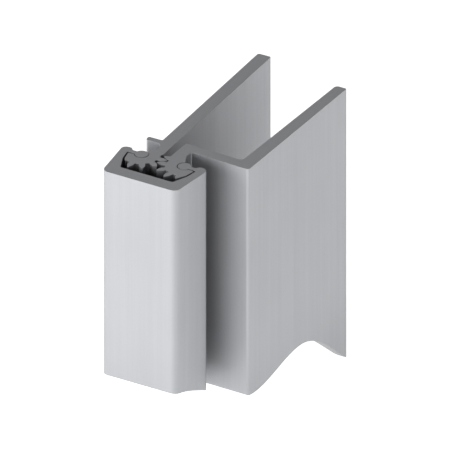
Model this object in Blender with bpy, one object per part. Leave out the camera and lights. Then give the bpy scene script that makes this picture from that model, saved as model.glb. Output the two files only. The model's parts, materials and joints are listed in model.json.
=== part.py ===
"""Section of a continuous geared hinge, also sold as a piano hinge.

Two aluminium leaves carry rows of gear teeth that roll on each other inside a
C-shaped cover.  The cover's two round beads are the pivots, so there is no pin.
An acetal block in a pocket of the teeth takes the weight of the door.

Frame: +Z along the hinge, origin on the frame leaf's pivot axis in the plane of
the flat end, so the section lies below z = 0.  The frame leaf's plate is
parallel to the YZ plane, and at rest the door leaf stands slightly open.
"""

import math

import bmesh
import bpy

MM = 0.001

# Driving dimensions ---------------------------------------------------------

SECTION_LENGTH = 70.0 * MM
REST_OPENING = math.radians(1.2)  # of each leaf against the cover; 0 is closed

# Gear teeth, the same on both leaves
PIVOT_SPACING = 10.7 * MM
TEETH_PER_TURN = 12
PRESSURE_ANGLE = math.radians(25)
TOOTH_TIP_RADIUS = 6.24 * MM
TOOTH_ROOT_RADIUS = 4.25 * MM
FLANK_GAP = 0.15 * MM

# Running fits
BEAD_RADIUS = 1.5 * MM
RUNNING_GAP = 0.15 * MM
HOOK_GAP = 0.25 * MM
END_GAP = 0.3 * MM

# Gear cover
COVER_FRONT_HALF_WIDTH = 9.25 * MM
COVER_BACK_HALF_WIDTH = 10.65 * MM
COVER_FRONT_Y = -10.45 * MM
COVER_CAVITY_Y = -7.2 * MM
COVER_LIP_Y = 1.3 * MM
COVER_FRONT_RADIUS = 1.6 * MM
COVER_LIP_RADIUS = 1.2 * MM
WEB_TOP_Y = 0.55 * MM
WEB_UNDERSIDE_Y = -0.56 * MM

# Leaves, measured from their own pivot axis; x points at the other leaf
LEAF_THICKNESS = 3.18 * MM
FRAME_LEAF_INNER_X = 4.28 * MM
FRAME_LEAF_END_Y = 50.25 * MM
FLANGE_TIP_X = -2.3 * MM
FLANGE_FRONT_Y = 5.86 * MM
FLANGE_THICKNESS = 1.5 * MM
NECK_OUTER_X = 1.86 * MM
DOOR_LEAF_INNER_X = 4.84 * MM
DOOR_TOP_FLANK_Y = 2.15 * MM
DOOR_BASE_FRONT_Y = 5.92 * MM
DOOR_BASE_THICKNESS = 2.76 * MM
DOOR_WALL_OUTER_X = -12.59 * MM
DOOR_WALL_ROOT_THICKNESS = 3.27 * MM
DOOR_WALL_END_THICKNESS = 2.67 * MM
DOOR_WALL_END_Y = 46.83 * MM

# Thrust bearing and the pockets cut for it
BEARING_HEIGHT = 12.7 * MM
BEARING_MIDDLE_Z = -25.4 * MM
BEARING_TOP_Y = 1.3 * MM
BEARING_RIB_HALF_WIDTH = 3.2 * MM
BEARING_RIB_TOP_Y = 2.7 * MM
BEARING_FRONT_Y = -6.9 * MM
POCKET_DEPTH_Y = 3.0 * MM

# The lower end is cut along a wave: (y, z) of each crest and trough
BREAK_WAVE = [
    (-12.3 * MM, -50.6 * MM),
    (9.2 * MM, -56.8 * MM),
    (26.4 * MM, -54.4 * MM),
    (58.2 * MM, -72.4 * MM),
]

# Derived sizes --------------------------------------------------------------

PITCH_RADIUS = PIVOT_SPACING / 2
BASE_RADIUS = PITCH_RADIUS * math.cos(PRESSURE_ANGLE)
TOOTH_PITCH = 2 * math.pi / TEETH_PER_TURN
SOCKET_RADIUS = BEAD_RADIUS + RUNNING_GAP
HOOK_TOP_Y = WEB_UNDERSIDE_Y - HOOK_GAP

# Corners of the cover's cavity beside a pivot, x measured from the pivot outwards
CAVITY_SIDE = [(3.2 * MM, WEB_UNDERSIDE_Y), (2.75 * MM, -3.33 * MM), (1.15 * MM, COVER_CAVITY_Y)]

CHORD_ERROR = 0.004 * MM  # largest gap between an arc and its facets
LARGEST_ARC_STEP = math.radians(15)
ROOT_FILLET = 0.15 * MM


# Outlines -------------------------------------------------------------------
# An outline is a closed list of (x, y, corner radius).

def arc(centre, radius, start, end):
    """Points along an arc from angle start to angle end, ends included."""
    step = min(LARGEST_ARC_STEP, 2 * math.acos(1 - CHORD_ERROR / radius))
    steps = max(2, math.ceil(abs(end - start) / step))
    angles = [start + (end - start) * i / steps for i in range(steps + 1)]
    return [
        (centre[0] + radius * math.cos(a), centre[1] + radius * math.sin(a), 0.0)
        for a in angles
    ]


def rounded(outline):
    """Replace each corner that has a radius by a tangent arc."""
    points = []
    for i, (x, y, radius) in enumerate(outline):
        if radius == 0.0:
            points.append((x, y))
            continue
        before = outline[i - 1]
        after = outline[(i + 1) % len(outline)]
        ax, ay = before[0] - x, before[1] - y
        bx, by = after[0] - x, after[1] - y
        a_length = math.hypot(ax, ay)
        b_length = math.hypot(bx, by)
        ax, ay = ax / a_length, ay / a_length
        bx, by = bx / b_length, by / b_length
        half_corner = math.acos(max(-1.0, min(1.0, ax * bx + ay * by))) / 2
        to_tangent = radius / math.tan(half_corner)
        to_centre = radius / math.sin(half_corner)
        mx, my = ax + bx, ay + by
        m_length = math.hypot(mx, my)
        cx, cy = x + mx / m_length * to_centre, y + my / m_length * to_centre
        start = math.atan2(y + ay * to_tangent - cy, x + ax * to_tangent - cx)
        turn = math.pi - 2 * half_corner
        if ax * by - ay * bx > 0:
            turn = -turn
        points += [(px, py) for px, py, _ in arc((cx, cy), radius, start, start + turn)]
    return points


def mirrored(outline):
    """The outline reflected in x = 0, still run the same way round."""
    return [(-x, y, radius) for x, y, radius in reversed(outline)]


def involute(angle):
    return math.tan(angle) - angle


def half_tooth_angle(radius):
    """Half the angle that a tooth spans at this radius."""
    at_pitch = TOOTH_PITCH / 4 - FLANK_GAP / 2 / PITCH_RADIUS
    if radius <= BASE_RADIUS:
        return at_pitch + involute(PRESSURE_ANGLE)
    return at_pitch + involute(PRESSURE_ANGLE) - involute(math.acos(BASE_RADIUS / radius))


def flank_point(tooth_angle, side, radius, corner=0.0):
    """Point on a tooth's flank; side is -1 for the lower flank, +1 for the upper."""
    angle = tooth_angle + side * half_tooth_angle(radius)
    return (radius * math.cos(angle), radius * math.sin(angle), corner)


def tooth(tooth_angle):
    """One whole tooth, from its lower root over the tip to its upper root."""
    steps = 4
    radii = [
        BASE_RADIUS + (TOOTH_TIP_RADIUS - BASE_RADIUS) * i / steps for i in range(steps + 1)
    ]
    points = [flank_point(tooth_angle, -1, TOOTH_ROOT_RADIUS, ROOT_FILLET)]
    points += [flank_point(tooth_angle, -1, radius) for radius in radii]
    points += [flank_point(tooth_angle, 1, radius) for radius in reversed(radii)]
    points.append(flank_point(tooth_angle, 1, TOOTH_ROOT_RADIUS, ROOT_FILLET))
    return points


def leaf_barrel():
    """The part both leaves share: neck edge, pivot socket and hooked tail."""
    lip_relief = [(NECK_OUTER_X, 3.9 * MM, 0.3 * MM), (1.55 * MM, 3.2 * MM, 0.3 * MM)]
    socket_mouth = math.radians(64)
    hook_angle = math.asin(HOOK_TOP_Y / SOCKET_RADIUS)
    socket = arc((0.0, 0.0), SOCKET_RADIUS, socket_mouth, -math.pi - hook_angle)
    side_gap = 0.35 * MM
    tail = [
        (-CAVITY_SIDE[0][0] + side_gap, HOOK_TOP_Y, 0.3 * MM),
        (-CAVITY_SIDE[1][0] + side_gap, CAVITY_SIDE[1][1], 0.5 * MM),
    ]
    return lip_relief + socket + tail


def frame_leaf_outline():
    """Flat plate with a locating flange, seen along the hinge."""
    outer_x = FRAME_LEAF_INNER_X - LEAF_THICKNESS
    flange_back_y = FLANGE_FRONT_Y + FLANGE_THICKNESS
    outline = [
        (outer_x, FRAME_LEAF_END_Y, 0.5 * MM),
        (outer_x, flange_back_y, 0.3 * MM),
        (FLANGE_TIP_X, flange_back_y, 0.35 * MM),
        (FLANGE_TIP_X, FLANGE_FRONT_Y, 0.65 * MM),
        (1.3 * MM, FLANGE_FRONT_Y, 0.25 * MM),
        (NECK_OUTER_X, 4.9 * MM, 0.3 * MM),
    ]
    outline += leaf_barrel()

    stub_tooth = -4 * TOOTH_PITCH
    outline.append(flank_point(stub_tooth, 1, 4.65 * MM))
    outline.append(flank_point(stub_tooth, 1, TOOTH_ROOT_RADIUS, ROOT_FILLET))
    for number in (-3, -2, -1, 0):
        outline += tooth(number * TOOTH_PITCH)
    outline.append(flank_point(TOOTH_PITCH, -1, TOOTH_ROOT_RADIUS, ROOT_FILLET))
    outline += [
        (FRAME_LEAF_INNER_X, 1.9 * MM, 0.0),
        (FRAME_LEAF_INNER_X, FRAME_LEAF_END_Y, 0.3 * MM),
    ]
    return outline


def door_leaf_outline():
    """L-shaped leaf; drawn as if on the frame side and mirrored at the end."""
    base_back_y = DOOR_BASE_FRONT_Y + DOOR_BASE_THICKNESS
    outline = [
        (DOOR_LEAF_INNER_X, base_back_y, 0.2 * MM),
        (DOOR_WALL_OUTER_X + DOOR_WALL_ROOT_THICKNESS, base_back_y, 1.1 * MM),
        (DOOR_WALL_OUTER_X + DOOR_WALL_END_THICKNESS, DOOR_WALL_END_Y, 0.9 * MM),
        (DOOR_WALL_OUTER_X, DOOR_WALL_END_Y, 0.2 * MM),
        (DOOR_WALL_OUTER_X, DOOR_BASE_FRONT_Y, 0.7 * MM),
        (NECK_OUTER_X, DOOR_BASE_FRONT_Y, 0.4 * MM),
    ]
    outline += leaf_barrel()

    # The teeth stand half a pitch round from the frame leaf's, to mesh with them.
    # The last one is cut away beside the cavity wall, and the first ends in the neck.
    cut_tooth = -3.5 * TOOTH_PITCH
    outline.append(flank_point(cut_tooth, 1, 5.75 * MM))
    outline.append(flank_point(cut_tooth, 1, BASE_RADIUS))
    outline.append(flank_point(cut_tooth, 1, TOOTH_ROOT_RADIUS, ROOT_FILLET))
    for number in (-2.5, -1.5, -0.5):
        outline += tooth(number * TOOTH_PITCH)
    outline += tooth(0.5 * TOOTH_PITCH)[:-3]
    outline.append((DOOR_LEAF_INNER_X, DOOR_TOP_FLANK_Y, 0.0))
    return mirrored(outline)


def cover_outline():
    """C-shaped channel; its beads stand on webs inside the two lips."""
    pivot_x = PIVOT_SPACING / 2
    web_angle = math.asin(WEB_UNDERSIDE_Y / BEAD_RADIUS)
    web_top_angle = math.asin(WEB_TOP_Y / BEAD_RADIUS)
    half = [
        (COVER_FRONT_HALF_WIDTH, COVER_FRONT_Y, COVER_FRONT_RADIUS),
        (COVER_BACK_HALF_WIDTH, COVER_LIP_Y, COVER_LIP_RADIUS),
        (pivot_x + 3.15 * MM, COVER_LIP_Y, 0.4 * MM),
        (pivot_x + 2.5 * MM, WEB_TOP_Y, 0.3 * MM),
    ]
    half += arc((pivot_x, 0.0), BEAD_RADIUS, web_top_angle, 2 * math.pi + web_angle)
    half += [
        (pivot_x + CAVITY_SIDE[0][0], CAVITY_SIDE[0][1], 0.3 * MM),
        (pivot_x + CAVITY_SIDE[1][0], CAVITY_SIDE[1][1], 1.5 * MM),
        (pivot_x + CAVITY_SIDE[2][0], CAVITY_SIDE[2][1], 0.6 * MM),
    ]
    return half + mirrored(half)


def bearing_outline():
    """Block that fills the cover's cavity and clasps both beads.

    Its rib stands up between the beads and closes the pocket's mouth.
    """
    pivot_x = PIVOT_SPACING / 2
    top_angle = math.pi - math.asin(BEARING_TOP_Y / SOCKET_RADIUS)
    hook_angle = 2 * math.pi + math.asin(HOOK_TOP_Y / SOCKET_RADIUS)
    half = [
        (BEARING_RIB_HALF_WIDTH, BEARING_RIB_TOP_Y, 0.4 * MM),
        (BEARING_RIB_HALF_WIDTH, BEARING_TOP_Y, 0.3 * MM),
    ]
    half += arc((pivot_x, 0.0), SOCKET_RADIUS, top_angle, hook_angle)
    half += [
        (pivot_x + CAVITY_SIDE[0][0] - END_GAP, HOOK_TOP_Y, 0.3 * MM),
        (pivot_x + CAVITY_SIDE[1][0] - END_GAP, CAVITY_SIDE[1][1], 1.2 * MM),
        (pivot_x + CAVITY_SIDE[2][0] - END_GAP, BEARING_FRONT_Y, 0.5 * MM),
    ]
    return half + mirrored(half)


# Solids ---------------------------------------------------------------------

def new_collection(name):
    collection = bpy.data.collections.new(name)
    bpy.context.scene.collection.children.link(collection)
    return collection


def clear_scene():
    for obj in list(bpy.data.objects):
        bpy.data.objects.remove(obj, do_unlink=True)


def prism(name, points, height, collection):
    """A flat outline extruded along local Z, half its height to each side."""
    curve = bpy.data.curves.new(name, "CURVE")
    curve.dimensions = "2D"
    curve.fill_mode = "BOTH"
    curve.extrude = height / 2
    spline = curve.splines.new("POLY")
    spline.points.add(len(points) - 1)
    for point, (x, y) in zip(spline.points, points):
        point.co = (x, y, 0.0, 1.0)
    spline.use_cyclic_u = True
    outline = bpy.data.objects.new(name + "_outline", curve)
    collection.objects.link(outline)
    bpy.context.view_layer.update()

    evaluated = outline.evaluated_get(bpy.context.evaluated_depsgraph_get())
    mesh = bpy.data.meshes.new_from_object(evaluated)
    weld(mesh)
    solid = bpy.data.objects.new(name, mesh)
    solid.matrix_world = outline.matrix_world
    collection.objects.link(solid)
    bpy.data.objects.remove(outline, do_unlink=True)
    return solid


def weld(mesh):
    """Join the loose end caps of a filled curve to its sides."""
    weld_distance = 0.001 * MM
    bm = bmesh.new()
    bm.from_mesh(mesh)
    bmesh.ops.remove_doubles(bm, verts=bm.verts, dist=weld_distance)
    bmesh.ops.recalc_face_normals(bm, faces=bm.faces)
    bm.to_mesh(mesh)
    bm.free()


def pivot_empty(name, location, parent, collection):
    """An empty on a hinge axis, turned by the opening at rest."""
    empty = bpy.data.objects.new(name, None)
    empty.location = location
    empty.rotation_euler.z = -REST_OPENING
    empty.parent = parent
    collection.objects.link(empty)
    return empty


def cut(solid, cutter):
    """Boolean difference that stays on the solid as a modifier."""
    modifier = solid.modifiers.new(cutter.name, "BOOLEAN")
    modifier.operation = "DIFFERENCE"
    modifier.solver = "EXACT"
    modifier.object = cutter


def as_cutter(obj):
    obj.hide_render = True
    obj.display_type = "WIRE"
    return obj


def finish_surface(solid, material):
    """Smooth the round stretches, keep the corners sharp, add the finish."""
    solid.data.shade_smooth()
    solid.data.set_sharp_from_angle(angle=math.radians(30))
    solid.data.materials.append(material)


def principled(name, colour, roughness, metallic):
    material = bpy.data.materials.new(name)
    material.use_nodes = True
    shader = material.node_tree.nodes["Principled BSDF"]
    shader.inputs["Base Color"].default_value = (*colour, 1.0)
    shader.inputs["Roughness"].default_value = roughness
    shader.inputs["Metallic"].default_value = metallic
    return material


# Cutters --------------------------------------------------------------------

def wave_points():
    """(y, z) along the break, a half cosine between neighbouring turning points."""
    steps = 20
    points = [BREAK_WAVE[0]]
    for (y0, z0), (y1, z1) in zip(BREAK_WAVE, BREAK_WAVE[1:]):
        for i in range(1, steps + 1):
            blend = (1 - math.cos(math.pi * i / steps)) / 2
            points.append((y0 + (y1 - y0) * i / steps, z0 + (z1 - z0) * blend))
    return points


def wave_cutter(parent, collection):
    """Everything below the wave, wide enough to cross the whole section."""
    width = 60 * MM
    below = -SECTION_LENGTH - 5 * MM
    wave = wave_points()
    outline = [(wave[0][0], below), (wave[-1][0], below)] + list(reversed(wave))
    cutter = as_cutter(prism("break_wave", outline, width, collection))
    cutter.rotation_euler = (math.pi / 2, 0.0, math.pi / 2)
    cutter.location = (PIVOT_SPACING, 0.0, 0.0)
    cutter.parent = parent
    return cutter


def pocket_cutter(name, side, parent, collection):
    """Pocket across a leaf's teeth; side is +1 where the teeth point to +X."""
    near_x = -4.0 * MM
    far_x = 7.0 * MM
    front_y = -8.0 * MM
    bpy.ops.mesh.primitive_cube_add(size=1.0)
    cutter = as_cutter(bpy.context.object)
    cutter.name = name
    for home in list(cutter.users_collection):
        home.objects.unlink(cutter)
    collection.objects.link(cutter)
    cutter.parent = parent
    cutter.scale = (far_x - near_x, POCKET_DEPTH_Y - front_y, BEARING_HEIGHT + 2 * END_GAP)
    cutter.location = (
        side * (near_x + far_x) / 2,
        (front_y + POCKET_DEPTH_Y) / 2,
        BEARING_MIDDLE_Z,
    )
    return cutter


# Assembly -------------------------------------------------------------------

def extrusion(name, outline, parent, collection):
    """One full-length aluminium profile that ends flush with z = 0."""
    solid = prism(name, rounded(outline), SECTION_LENGTH, collection)
    solid.location.z = -SECTION_LENGTH / 2
    solid.parent = parent
    finish_surface(solid, principled(name + "_aluminium", (0.62, 0.63, 0.64), 0.42, 0.9))
    return solid


def from_cover_middle(outline):
    """Shift an outline drawn about the cover's centre plane to the frame pivot."""
    return [(x + PIVOT_SPACING / 2, y, radius) for x, y, radius in outline]


def main():
    clear_scene()
    hinge = new_collection("continuous_geared_hinge")
    cutters = new_collection("cutters")
    cover_pivot = pivot_empty("cover_pivot", (0.0, 0.0, 0.0), None, hinge)
    door_pivot = pivot_empty("door_pivot", (PIVOT_SPACING, 0.0, 0.0), cover_pivot, hinge)
    wave = wave_cutter(cover_pivot, cutters)

    frame_leaf = extrusion("frame_leaf", frame_leaf_outline(), None, hinge)
    cut(frame_leaf, pocket_cutter("frame_leaf_pocket", 1, None, cutters))
    cut(frame_leaf, wave)

    door_leaf = extrusion("door_leaf", door_leaf_outline(), door_pivot, hinge)
    cut(door_leaf, pocket_cutter("door_leaf_pocket", -1, door_pivot, cutters))
    cut(door_leaf, wave)

    gear_cover = extrusion("gear_cover", from_cover_middle(cover_outline()), cover_pivot, hinge)
    cut(gear_cover, wave)

    bearing_points = rounded(from_cover_middle(bearing_outline()))
    bearing = prism("thrust_bearing", bearing_points, BEARING_HEIGHT, hinge)
    bearing.location.z = BEARING_MIDDLE_Z
    bearing.parent = cover_pivot
    finish_surface(bearing, principled("bearing_acetal", (0.80, 0.80, 0.77), 0.5, 0.0))


main()
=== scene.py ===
"""Looks for the section of continuous geared hinge.

Each CAD node is replaced by a finer piece made from its own mesh: the facets are
joined into whole faces, every sharp edge gets a small real radius, and the piece
takes a procedural material.  The camera, floor and lights follow.
"""
import json
import math

import bmesh
import bpy
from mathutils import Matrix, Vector

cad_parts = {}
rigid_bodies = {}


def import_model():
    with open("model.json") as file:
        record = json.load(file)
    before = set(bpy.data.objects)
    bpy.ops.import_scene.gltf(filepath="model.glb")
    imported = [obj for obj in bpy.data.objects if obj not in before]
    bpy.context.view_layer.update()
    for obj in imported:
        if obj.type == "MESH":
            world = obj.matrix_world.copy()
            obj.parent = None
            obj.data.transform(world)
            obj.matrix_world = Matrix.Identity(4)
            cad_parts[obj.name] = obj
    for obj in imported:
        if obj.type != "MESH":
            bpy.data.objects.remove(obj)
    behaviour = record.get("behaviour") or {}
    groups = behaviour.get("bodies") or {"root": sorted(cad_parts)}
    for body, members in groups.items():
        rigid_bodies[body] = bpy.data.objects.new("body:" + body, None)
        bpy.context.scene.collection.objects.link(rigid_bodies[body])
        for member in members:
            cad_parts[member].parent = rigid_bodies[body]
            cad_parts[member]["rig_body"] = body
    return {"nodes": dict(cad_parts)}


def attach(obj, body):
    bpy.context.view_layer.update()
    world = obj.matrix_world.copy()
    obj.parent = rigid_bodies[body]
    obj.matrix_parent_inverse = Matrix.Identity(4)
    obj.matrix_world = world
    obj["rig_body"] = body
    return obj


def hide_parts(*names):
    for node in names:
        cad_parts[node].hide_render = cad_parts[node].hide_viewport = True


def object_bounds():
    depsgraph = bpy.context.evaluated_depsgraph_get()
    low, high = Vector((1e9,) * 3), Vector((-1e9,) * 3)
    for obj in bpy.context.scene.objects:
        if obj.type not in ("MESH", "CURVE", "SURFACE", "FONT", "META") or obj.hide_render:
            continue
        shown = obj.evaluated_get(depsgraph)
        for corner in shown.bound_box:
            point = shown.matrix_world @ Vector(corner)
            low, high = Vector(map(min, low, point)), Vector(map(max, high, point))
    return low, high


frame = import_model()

MM = 0.001
PER_MM = 1 / MM
CAD_LOW, CAD_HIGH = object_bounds()
CENTRE = (CAD_LOW + CAD_HIGH) / 2

# Edge radii of the finished pieces
EDGE_RADIUS = 0.045 * MM
MOULDED_EDGE_RADIUS = 0.05 * MM

# How the CAD mesh is read
WELD_DISTANCE = 0.002 * MM
FLAT_ANGLE = math.radians(0.5)    # facets closer than this lie on one face
SHARP_CORNER = math.radians(24)   # edges past this get a radius
SMOOTH_ANGLE = math.radians(30)   # faces within this shade as one surface
BREAK_CREASE = math.radians(12)   # facets of the wavy end meet at less than this
CROWDED = 0.3 * MM                # rim points closer than this are thinned out
FACING_DOWN = -0.5                # a face that looks down has normal.z below this
LEVEL = 0.9999                    # a level face's |normal.z| is above this

# Camera: a parallel view, turned from the -Y side towards +X
CAMERA_AZIMUTH = math.radians(28.8)
CAMERA_ELEVATION = math.radians(30)
CAMERA_DISTANCE = 0.6
PICTURE_HEIGHT = 97.2 * MM
AIM_RIGHT = -0.32 * MM
AIM_UP = 8.63 * MM

# The floor glows and lights the object from below
FLOOR_HALF_WIDTH = 3.0
FLOOR_GLOW = 0.745
FLOOR_GLOW_SEEN = 0.225  # added for the camera alone

# Softboxes: distance and sizes in metres, elevation in degrees
SOFTBOX_DISTANCE = 0.9
LOW_SOFTBOX_SIZE = (0.7, 0.4)
HIGH_SOFTBOX_SIZE = (0.7, 0.6)
LOW_SOFTBOX_ELEVATION = 14

# Colours
ALUMINIUM_DARK = (0.582, 0.591, 0.614, 1.0)
ALUMINIUM_PALE = (0.612, 0.621, 0.644, 1.0)
ALUMINIUM_RUBBED = (0.74, 0.745, 0.75, 1.0)
# Painted shade: the near-black colour that recesses are darkened towards
ALUMINIUM_PAINTED_SHADE = (0.19, 0.19, 0.195, 1.0)
ACETAL_DARK = (0.74, 0.735, 0.70, 1.0)
ACETAL_PALE = (0.80, 0.795, 0.765, 1.0)
ACETAL_RUBBED = (0.86, 0.86, 0.84, 1.0)
PAPER_DARK = (0.88, 0.88, 0.88, 1.0)
PAPER_PALE = (0.90, 0.90, 0.90, 1.0)
WHITE = (1.0, 1.0, 1.0, 1.0)
NEAR_BLACK = (0.01, 0.01, 0.01, 1.0)

# Noise lies mostly within these values, which are spread over a look's whole range
BROAD_NOISE = (0.35, 0.65)
FINE_NOISE = (0.3, 0.7)

# Wear on edges, and shade painted into recesses
ALUMINIUM_RUB_WIDTH = 0.16 * MM
ACETAL_RUB_WIDTH = 0.25 * MM
# Painted shade: how far the occlusion test reaches, and how much the deepest recess is
# darkened
PAINTED_SHADE_REACH = 30 * MM
DEEPEST_PAINTED_SHADE = 0.50

# Grain of each surface, in cells to the millimetre
FINE_DIE_LINES = 3.2 * PER_MM
BROAD_DIE_LINES = 0.55 * PER_MM
SAW_LINES = 3.0 * PER_MM
ETCHING = 9.0 * PER_MM
ALUMINIUM_CLOUD = 0.06 * PER_MM
ACETAL_CLOUD = 0.2 * PER_MM
ACETAL_GRAIN = 3.0 * PER_MM
ALONG_DIE_LINES = 0.012  # density of cells along the lines, against across them
ALONG_SAW_LINES = 0.03


# Pieces ---------------------------------------------------------------------

def joined_faces(node):
    """The node's mesh with its split vertices welded and its flat faces whole."""
    bm = bmesh.new()
    bm.from_mesh(frame["nodes"][node].data)
    bmesh.ops.remove_doubles(bm, verts=bm.verts, dist=WELD_DISTANCE)
    bmesh.ops.dissolve_limit(
        bm,
        angle_limit=FLAT_ANGLE,
        use_dissolve_boundaries=False,
        verts=bm.verts,
        edges=bm.edges,
    )
    bmesh.ops.recalc_face_normals(bm, faces=bm.faces)
    return bm


def join_break_faces(bm):
    """Make the wavy lower end one face, with no rim points crowded together."""
    inner = [
        edge for edge in bm.edges
        if edge.is_manifold
        and all(face.normal.z < FACING_DOWN for face in edge.link_faces)
        and edge.calc_face_angle() < BREAK_CREASE
    ]
    bmesh.ops.dissolve_edges(bm, edges=inner, use_verts=False)
    spare = [
        vert for vert in bm.verts
        if len(vert.link_edges) == 2
        and min(edge.calc_length() for edge in vert.link_edges) < CROWDED
    ]
    bmesh.ops.dissolve_verts(bm, verts=spare)


def face_normal_at(vert, face, edge_faces):
    """The average of this face and the faces that run on smoothly from it."""
    total = Vector()
    for other in vert.link_faces:
        smooth = other.normal.dot(face.normal) > math.cos(SMOOTH_ANGLE)
        if other not in edge_faces and smooth:
            total += other.normal * other.calc_area()
    return total.normalized()


def corner_normals(bm, edge_faces):
    """Normals that keep the flat faces flat and turn only across the rounded edges."""
    normals = []
    for face in bm.faces:
        for loop in face.loops:
            vert = loop.vert
            main = [other for other in vert.link_faces if other not in edge_faces]
            if face not in edge_faces:
                normals.append(face_normal_at(vert, face, edge_faces))
            elif main:
                nearest = max(main, key=lambda other: other.normal.dot(face.normal))
                normals.append(face_normal_at(vert, nearest, edge_faces))
            else:
                total = sum((other.normal for other in vert.link_faces), Vector())
                normals.append(total.normalized())
    return normals


def finished_piece(name, node, material, edge_radius):
    """A node's shape with real edge radii, standing for that node."""
    bm = joined_faces(node)
    join_break_faces(bm)
    sharp = [edge for edge in bm.edges if edge.calc_face_angle() > SHARP_CORNER]
    rounded = bmesh.ops.bevel(
        bm,
        geom=sharp,
        offset=edge_radius,
        offset_type="OFFSET",
        segments=2,
        profile=0.5,
        affect="EDGES",
        clamp_overlap=False,
    )
    edge_faces = set(rounded["faces"])
    break_faces = [
        face for face in bm.faces
        if face not in edge_faces and len(face.verts) > 4 and abs(face.normal.z) < LEVEL
    ]
    bmesh.ops.triangulate(bm, faces=break_faces)
    bm.faces.index_update()
    normals = corner_normals(bm, edge_faces)
    mesh = bpy.data.meshes.new(name)
    bm.to_mesh(mesh)
    bm.free()
    mesh.shade_smooth()
    mesh.normals_split_custom_set(normals)
    piece = bpy.data.objects.new(name, mesh)
    bpy.context.scene.collection.objects.link(piece)
    piece.data.materials.append(material)
    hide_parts(node)
    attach(piece, frame["nodes"][node]["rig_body"])


# Materials ------------------------------------------------------------------

class NodeTree:
    """Short calls for building a material's nodes."""

    def __init__(self, material):
        material.use_nodes = True
        self.tree = material.node_tree
        self.shader = self.tree.nodes["Principled BSDF"]

    def add(self, kind, **settings):
        node = self.tree.nodes.new(kind)
        for name, value in settings.items():
            setattr(node, name, value)
        return node

    def feed(self, value, socket):
        """Link a socket, or set a plain value."""
        if isinstance(value, bpy.types.NodeSocket):
            self.tree.links.new(value, socket)
        else:
            socket.default_value = value

    def math(self, operation, a, b=0.0, clamp=False):
        node = self.add("ShaderNodeMath", operation=operation, use_clamp=clamp)
        self.feed(a, node.inputs[0])
        self.feed(b, node.inputs[1])
        return node.outputs[0]

    def mix(self, factor, a, b):
        node = self.add("ShaderNodeMix", data_type="RGBA")
        self.feed(factor, node.inputs["Factor"])
        self.feed(a, node.inputs["A"])
        self.feed(b, node.inputs["B"])
        return node.outputs["Result"]

    def scaled_object_point(self, scale):
        point = self.add("ShaderNodeTexCoord").outputs["Object"]
        node = self.add("ShaderNodeMapping")
        self.feed(point, node.inputs["Vector"])
        node.inputs["Scale"].default_value = scale
        return node.outputs["Vector"]

    def noise(self, point, scale, detail=2.0):
        node = self.add("ShaderNodeTexNoise")
        self.feed(point, node.inputs["Vector"])
        node.inputs["Scale"].default_value = scale
        node.inputs["Detail"].default_value = detail
        return node.outputs["Fac"]

    def spread(self, value, low, high, out_low, out_high):
        """Map a value's range low..high to out_low..out_high, clamped."""
        node = self.add("ShaderNodeMapRange")
        self.feed(value, node.inputs["Value"])
        node.inputs["From Min"].default_value = low
        node.inputs["From Max"].default_value = high
        node.inputs["To Min"].default_value = out_low
        node.inputs["To Max"].default_value = out_high
        return node.outputs["Result"]

    def painted_recess_shade(self, reach):
        """How much shade is painted: 0 in the open and 1 deep in a recess, found by ambient
        occlusion.
        """
        deep_recess, open_face = 0.1, 0.95
        node = self.add("ShaderNodeAmbientOcclusion", samples=8)
        node.inputs["Distance"].default_value = reach
        return self.spread(node.outputs["AO"], deep_recess, open_face, 1.0, 0.0)

    def edge_mask(self, radius):
        """1 on a worn edge and 0 on a flat face."""
        edge_cosine, face_cosine = 0.80, 0.99
        rounded = self.add("ShaderNodeBevel", samples=8)
        rounded.inputs["Radius"].default_value = radius
        flat = self.add("ShaderNodeNewGeometry").outputs["Normal"]
        turned = self.add("ShaderNodeVectorMath", operation="DOT_PRODUCT")
        self.feed(rounded.outputs["Normal"], turned.inputs[0])
        self.feed(flat, turned.inputs[1])
        return self.spread(turned.outputs["Value"], edge_cosine, face_cosine, 1.0, 0.0)


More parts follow.
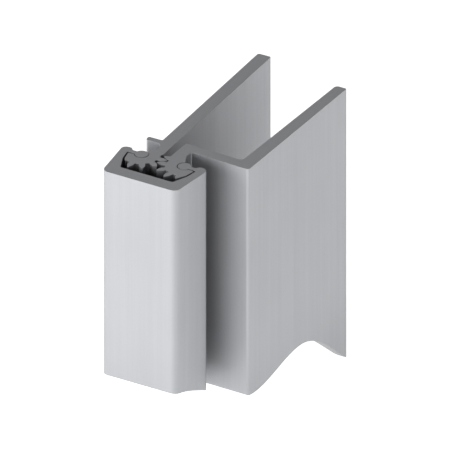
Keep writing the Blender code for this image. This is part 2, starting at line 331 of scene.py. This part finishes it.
def satin_aluminium(name):
    """Clear-anodised extrusion: die lines along Z, saw marks on the ends, and shade painted
    into recesses.
    """
    material = bpy.data.materials.new(name)
    nodes = NodeTree(material)

    die_point = nodes.scaled_object_point((1.0, 1.0, ALONG_DIE_LINES))
    fine_lines = nodes.noise(die_point, FINE_DIE_LINES, 3.0)
    broad_lines = nodes.noise(die_point, BROAD_DIE_LINES)

    saw_point = nodes.scaled_object_point((ALONG_SAW_LINES, 1.0, 0.0))
    saw_lines = nodes.noise(saw_point, SAW_LINES)
    end_slope = 0.6
    normal = nodes.add("ShaderNodeTexCoord").outputs["Normal"]
    split = nodes.add("ShaderNodeSeparateXYZ")
    nodes.feed(normal, split.inputs[0])
    on_end = nodes.math("GREATER_THAN", nodes.math("ABSOLUTE", split.outputs["Z"]), end_slope)
    grain = nodes.scaled_object_point((1.0, 1.0, 1.0))
    etch = nodes.noise(grain, ETCHING)
    cloud = nodes.noise(grain, ALUMINIUM_CLOUD, 3.0)

    def on_surface(side_value, end_value):
        """One value on the sides and another on the flat and wavy ends."""
        pick = nodes.add("ShaderNodeMix", data_type="FLOAT")
        nodes.feed(on_end, pick.inputs["Factor"])
        nodes.feed(side_value, pick.inputs["A"])
        nodes.feed(end_value, pick.inputs["B"])
        return pick.outputs["Result"]

    lines = on_surface(fine_lines, saw_lines)
    worn = nodes.edge_mask(ALUMINIUM_RUB_WIDTH)

    half_lines = nodes.math("MULTIPLY", broad_lines, 0.5)
    half_cloud = nodes.math("MULTIPLY", cloud, 0.5)
    tone = on_surface(nodes.math("ADD", half_lines, half_cloud), saw_lines)
    shade = nodes.spread(tone, *BROAD_NOISE, 0.0, 1.0)
    colour = nodes.mix(shade, ALUMINIUM_DARK, ALUMINIUM_PALE)
    colour = nodes.mix(nodes.math("MULTIPLY", worn, 0.25), colour, ALUMINIUM_RUBBED)
    # Painted shade: the colour is mixed towards near black in recesses, by ambient occlusion
    painted_shade = nodes.math("MULTIPLY", nodes.painted_recess_shade(PAINTED_SHADE_REACH), DEEPEST_PAINTED_SHADE)
    colour = nodes.mix(painted_shade, colour, ALUMINIUM_PAINTED_SHADE)
    nodes.feed(colour, nodes.shader.inputs["Base Color"])
    nodes.shader.inputs["Metallic"].default_value = 0.75

    rough = nodes.spread(lines, *FINE_NOISE, 0.45, 0.55)
    rough = nodes.math("SUBTRACT", rough, nodes.math("MULTIPLY", worn, 0.10))
    nodes.feed(rough, nodes.shader.inputs["Roughness"])

    die_line_height, saw_line_height, etch_height = 0.6, 9.0, 0.3
    line_height = nodes.math("MULTIPLY", lines, on_surface(die_line_height, saw_line_height))
    height = nodes.math("ADD", line_height, nodes.math("MULTIPLY", etch, etch_height))
    bump = nodes.add("ShaderNodeBump")
    bump.inputs["Strength"].default_value = 0.35
    bump.inputs["Distance"].default_value = 0.006 * MM
    nodes.feed(height, bump.inputs["Height"])
    nodes.feed(bump.outputs["Normal"], nodes.shader.inputs["Normal"])
    return material


def moulded_acetal(name):
    """Natural acetal: slightly waxy, fine moulding texture, rubbed bright edges."""
    material = bpy.data.materials.new(name)
    nodes = NodeTree(material)
    point = nodes.scaled_object_point((1.0, 1.0, 1.0))
    cloud = nodes.noise(point, ACETAL_CLOUD, 3.0)
    grain = nodes.noise(point, ACETAL_GRAIN, 3.0)
    worn = nodes.edge_mask(ACETAL_RUB_WIDTH)
    shade = nodes.spread(cloud, *BROAD_NOISE, 0.0, 1.0)
    colour = nodes.mix(shade, ACETAL_DARK, ACETAL_PALE)
    colour = nodes.mix(nodes.math("MULTIPLY", worn, 0.4), colour, ACETAL_RUBBED)
    nodes.feed(colour, nodes.shader.inputs["Base Color"])
    nodes.feed(nodes.spread(grain, *FINE_NOISE, 0.42, 0.56), nodes.shader.inputs["Roughness"])
    nodes.shader.inputs["Subsurface Weight"].default_value = 0.15
    nodes.shader.inputs["Subsurface Radius"].default_value = (0.6 * MM, 0.6 * MM, 0.5 * MM)
    bump = nodes.add("ShaderNodeBump")
    bump.inputs["Strength"].default_value = 0.3
    bump.inputs["Distance"].default_value = 0.02 * MM
    nodes.feed(grain, bump.inputs["Height"])
    nodes.feed(bump.outputs["Normal"], nodes.shader.inputs["Normal"])
    return material


def matt_paper(name):
    """The studio floor: pale matt paper that glows."""
    material = bpy.data.materials.new(name)
    nodes = NodeTree(material)
    point = nodes.scaled_object_point((1.0, 1.0, 1.0))
    cells_per_metre = 4.0
    cloud = nodes.noise(point, cells_per_metre)
    colour = nodes.mix(cloud, PAPER_DARK, PAPER_PALE)
    nodes.feed(colour, nodes.shader.inputs["Base Color"])
    nodes.shader.inputs["Roughness"].default_value = 0.9
    nodes.shader.inputs["Specular IOR Level"].default_value = 0.1
    nodes.shader.inputs["Emission Color"].default_value = WHITE
    seen = nodes.add("ShaderNodeLightPath").outputs["Is Camera Ray"]
    glow = nodes.math("ADD", nodes.math("MULTIPLY", seen, FLOOR_GLOW_SEEN), FLOOR_GLOW)
    nodes.feed(glow, nodes.shader.inputs["Emission Strength"])
    return material


# Studio ---------------------------------------------------------------------

def direction(azimuth, elevation):
    """Unit vector towards a place round the object; azimuth 0 is -Y, 90 is +X."""
    return Vector((
        math.sin(azimuth) * math.cos(elevation),
        -math.cos(azimuth) * math.cos(elevation),
        math.sin(elevation),
    ))


def studio_floor():
    """One large square of paper under the lowest tip."""
    bm = bmesh.new()
    bmesh.ops.create_grid(bm, x_segments=1, y_segments=1, size=FLOOR_HALF_WIDTH)
    mesh = bpy.data.meshes.new("floor")
    bm.to_mesh(mesh)
    bm.free()
    floor = bpy.data.objects.new("floor", mesh)
    floor.location = (CENTRE.x, CENTRE.y, CAD_LOW.z)
    bpy.context.scene.collection.objects.link(floor)
    floor.data.materials.append(matt_paper("floor_paper"))


def soft_light(name, azimuth, elevation, size, watts):
    """A softbox that faces the object's middle; its angles are in degrees."""
    data = bpy.data.lights.new(name, "AREA")
    data.shape = "RECTANGLE"
    data.size, data.size_y = size
    data.energy = watts
    light = bpy.data.objects.new(name, data)
    towards = direction(math.radians(azimuth), math.radians(elevation))
    light.location = CENTRE + towards * SOFTBOX_DISTANCE
    light.rotation_mode = "QUATERNION"
    light.rotation_quaternion = towards.to_track_quat("Z", "Y")
    light.visible_camera = False
    bpy.context.scene.collection.objects.link(light)


def studio_world():
    """Nearly black surroundings for the object and a white backdrop for the camera."""
    world = bpy.data.worlds.new("studio")
    world.use_nodes = True
    tree = world.node_tree
    tree.nodes.clear()
    seen = tree.nodes.new("ShaderNodeLightPath").outputs["Is Camera Ray"]
    reflected = tree.nodes.new("ShaderNodeBackground")
    reflected.inputs["Color"].default_value = NEAR_BLACK
    pictured = tree.nodes.new("ShaderNodeBackground")
    pictured.inputs["Color"].default_value = WHITE
    mix = tree.nodes.new("ShaderNodeMixShader")
    output = tree.nodes.new("ShaderNodeOutputWorld")
    tree.links.new(seen, mix.inputs[0])
    tree.links.new(reflected.outputs[0], mix.inputs[1])
    tree.links.new(pictured.outputs[0], mix.inputs[2])
    tree.links.new(mix.outputs[0], output.inputs["Surface"])
    bpy.context.scene.world = world


def camera():
    """A parallel view of the whole object."""
    data = bpy.data.cameras.new("camera")
    data.type = "ORTHO"
    data.ortho_scale = PICTURE_HEIGHT
    data.clip_start = 0.01
    data.clip_end = 10.0
    back = direction(CAMERA_AZIMUTH, CAMERA_ELEVATION)
    right = Vector((math.cos(CAMERA_AZIMUTH), math.sin(CAMERA_AZIMUTH), 0.0))
    up = back.cross(right)
    obj = bpy.data.objects.new("camera", data)
    obj.rotation_mode = "QUATERNION"
    obj.rotation_quaternion = back.to_track_quat("Z", "Y")
    obj.location = CENTRE + right * AIM_RIGHT + up * AIM_UP + back * CAMERA_DISTANCE
    bpy.context.scene.collection.objects.link(obj)
    bpy.context.scene.camera = obj


# Scene ----------------------------------------------------------------------

METAL_PIECES = {
    "frame_leaf": "frame_leaf_profile",
    "door_leaf": "door_leaf_profile",
    "gear_cover": "gear_cover_profile",
}
for metal_node, metal_piece in METAL_PIECES.items():
    finish = satin_aluminium(metal_node + "_satin")
    finished_piece(metal_piece, metal_node, finish, EDGE_RADIUS)
finished_piece(
    "thrust_bearing_block",
    "thrust_bearing",
    moulded_acetal("bearing_acetal"),
    MOULDED_EDGE_RADIUS,
)

studio_floor()
soft_light("key_softbox", -40, LOW_SOFTBOX_ELEVATION, LOW_SOFTBOX_SIZE, 3.53)
soft_light("front_softbox", 0, LOW_SOFTBOX_ELEVATION, LOW_SOFTBOX_SIZE, 1.52)
soft_light("right_softbox", 30, LOW_SOFTBOX_ELEVATION, LOW_SOFTBOX_SIZE, 0.43)
soft_light("top_softbox", 20, 90, HIGH_SOFTBOX_SIZE, 0.63)
soft_light("back_softbox", 210, 45, HIGH_SOFTBOX_SIZE, 0.77)
studio_world()
camera()
bpy.context.scene.view_settings.view_transform = "Standard"
